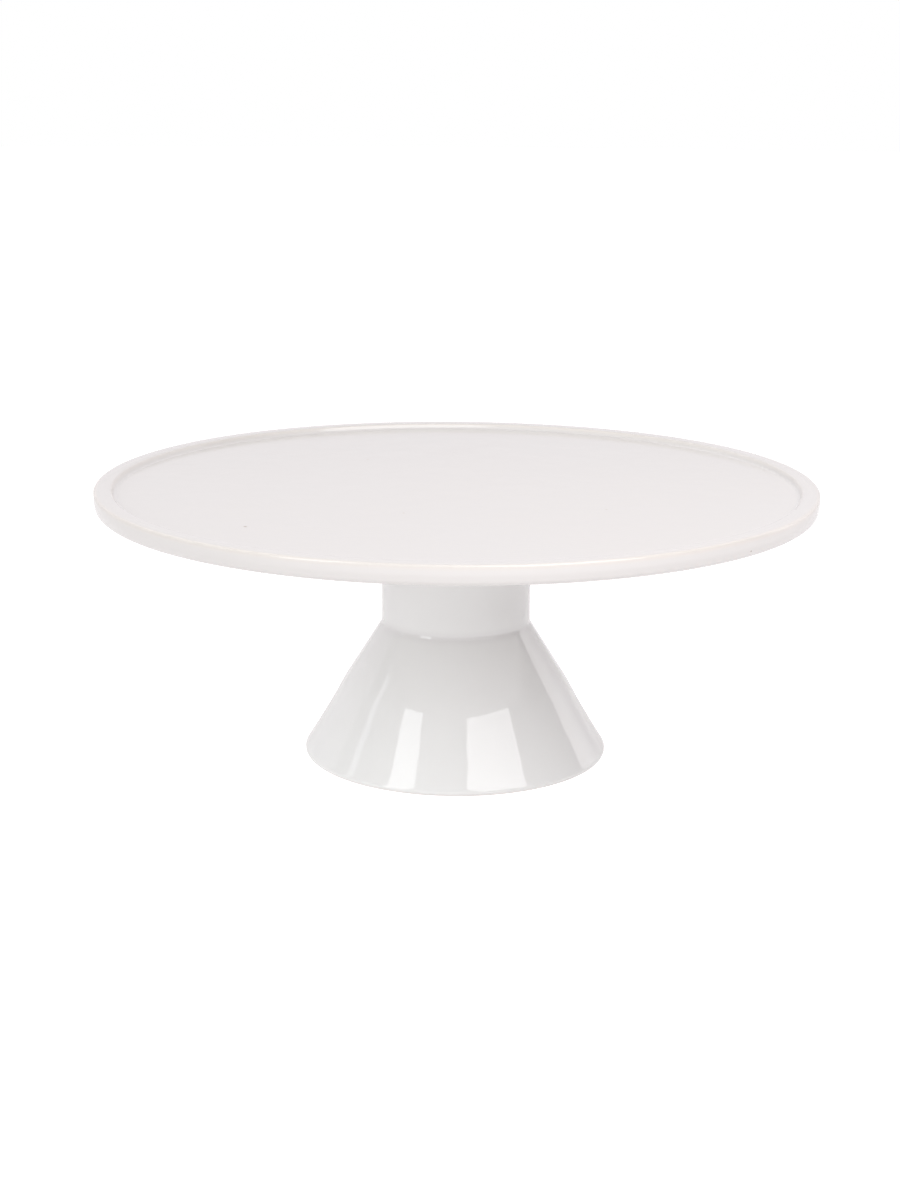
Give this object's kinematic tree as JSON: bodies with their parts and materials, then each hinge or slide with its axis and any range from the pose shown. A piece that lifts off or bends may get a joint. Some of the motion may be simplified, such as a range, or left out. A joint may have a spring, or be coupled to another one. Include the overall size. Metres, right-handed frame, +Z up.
{
  "type": "cake stand",
  "caption": "Low round pedestal cake stand in glazed white ceramic: a flat plate with a shallow raised rim, luted to a hollow foot whose straight neck opens into a cone.",
  "frame": {"origin": "on the stand's axis of turning, at the level of the surface that it stands on", "axes": "+Z up along the axis of turning; X and Y lie in the table plane and are free, because the stand is round"},
  "size_m": [0.3, 0.3, 0.117],
  "materials": {
    "plate_glaze": "satin white glaze over a stoneware body, pale oatmeal where it breaks over the rim",
    "foot_glaze": "full gloss cool white glaze outside and inside, bare clay on the foot ring",
    "slip_glaze": "sponged luting slip under the same white glaze"
  },
  "bodies": {
    "root": {"plate": "plate_glaze", "pedestal": "foot_glaze", "slip_joint": "slip_glaze"}
  },
  "joints": []
}
